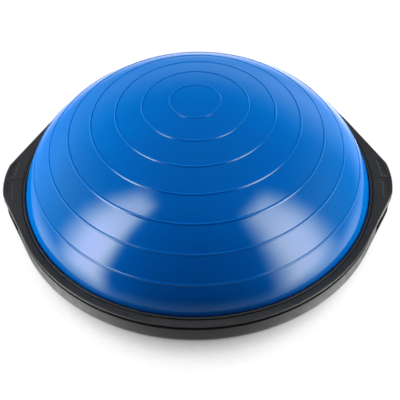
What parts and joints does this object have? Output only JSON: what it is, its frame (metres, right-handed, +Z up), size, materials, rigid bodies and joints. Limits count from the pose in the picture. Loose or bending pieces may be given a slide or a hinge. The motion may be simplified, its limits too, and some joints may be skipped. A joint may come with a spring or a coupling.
{
  "type": "balance dome trainer",
  "caption": "Air-filled PVC half dome clamped to a round plastic base with two hand grips, for balance and stability training.",
  "frame": {"origin": "on the floor, under the middle of the base", "axes": "+Z up out of the dome's crown, X through the two hand grips, +Y to the side that holds the air valve"},
  "size_m": [0.635, 0.592, 0.2013],
  "materials": {
    "dome_pvc": "glossy soft PVC, rotation moulded, anti-slip rings raised in the skin",
    "ring_plastic": "black moulded plastic, satin",
    "base_plastic": "black moulded plastic, satin, fine grain",
    "plug_plastic": "soft dark blue plastic",
    "screw_steel": "zinc-plated steel",
    "foot_rubber": "matt black rubber"
  },
  "bodies": {
    "base": {"platform": "base_plastic", "front_clamp_ring": "ring_plastic", "rear_clamp_ring": "ring_plastic", "clamp_screw_01": "screw_steel", "clamp_screw_02": "screw_steel", "clamp_screw_03": "screw_steel", "clamp_screw_04": "screw_steel", "clamp_screw_05": "screw_steel", "clamp_screw_06": "screw_steel", "clamp_screw_07": "screw_steel", "clamp_screw_08": "screw_steel", "clamp_screw_09": "screw_steel", "clamp_screw_10": "screw_steel", "clamp_screw_11": "screw_steel", "clamp_screw_12": "screw_steel", "clamp_screw_13": "screw_steel", "clamp_screw_14": "screw_steel", "clamp_screw_15": "screw_steel", "clamp_screw_16": "screw_steel", "foot_1": "foot_rubber", "foot_2": "foot_rubber", "foot_3": "foot_rubber", "foot_4": "foot_rubber", "foot_5": "foot_rubber", "foot_6": "foot_rubber", "foot_7": "foot_rubber", "foot_8": "foot_rubber"},
    "dome": {"dome_bladder": "dome_pvc"},
    "plug": {"valve_plug": "plug_plastic"}
  },
  "joints": [
    {"name": "dome_press", "type": "slide", "parent": "base", "child": "dome", "axis": [0, 0, 1], "range_m": [-0.04, 0], "stiffness_N_per_m": 20000, "deforming": ["dome_bladder"]},
    {"name": "valve_plug_pull", "type": "slide", "parent": "base", "child": "plug", "axis": [0, 0.9397, 0.342], "range_m": [0, 0.03]}
  ]
}
